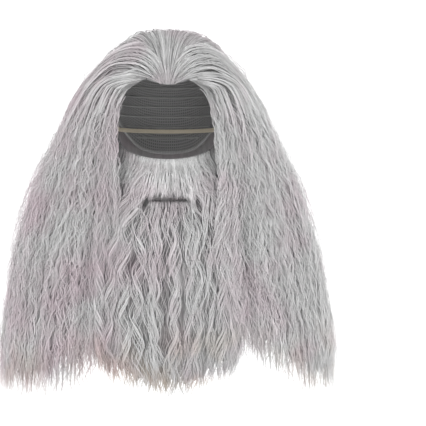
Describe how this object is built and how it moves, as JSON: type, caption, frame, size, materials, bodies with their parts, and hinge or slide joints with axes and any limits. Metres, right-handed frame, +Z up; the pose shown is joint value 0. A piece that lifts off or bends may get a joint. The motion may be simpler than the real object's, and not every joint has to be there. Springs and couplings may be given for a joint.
{
  "type": "wizard wig with beard",
  "caption": "Long grey wavy wig on a hollow cap, worn with a full wavy beard on a curved backing that a flat elastic holds round the head.",
  "frame": {"origin": "inside of the cap at its highest point, where the crown of the head meets it", "axes": "+Z up along the head, -Y towards the front of the face, +X towards the wearer's left"},
  "size_m": [0.4442, 0.3011, 0.4853],
  "materials": {
    "cap_net": "grey stretch net",
    "wig_hair": "crimped grey synthetic hair",
    "beard_hair": "deeply waved grey synthetic hair",
    "backing_cloth": "grey woven cloth",
    "elastic": "cream flat elastic"
  },
  "bodies": {
    "root": {"wig_cap": "cap_net", "left_hair": "wig_hair", "right_hair": "wig_hair", "back_hair": "wig_hair", "beard_backing": "backing_cloth", "moustache_hair": "beard_hair", "beard_hair": "beard_hair", "beard_strap": "elastic"}
  },
  "joints": []
}
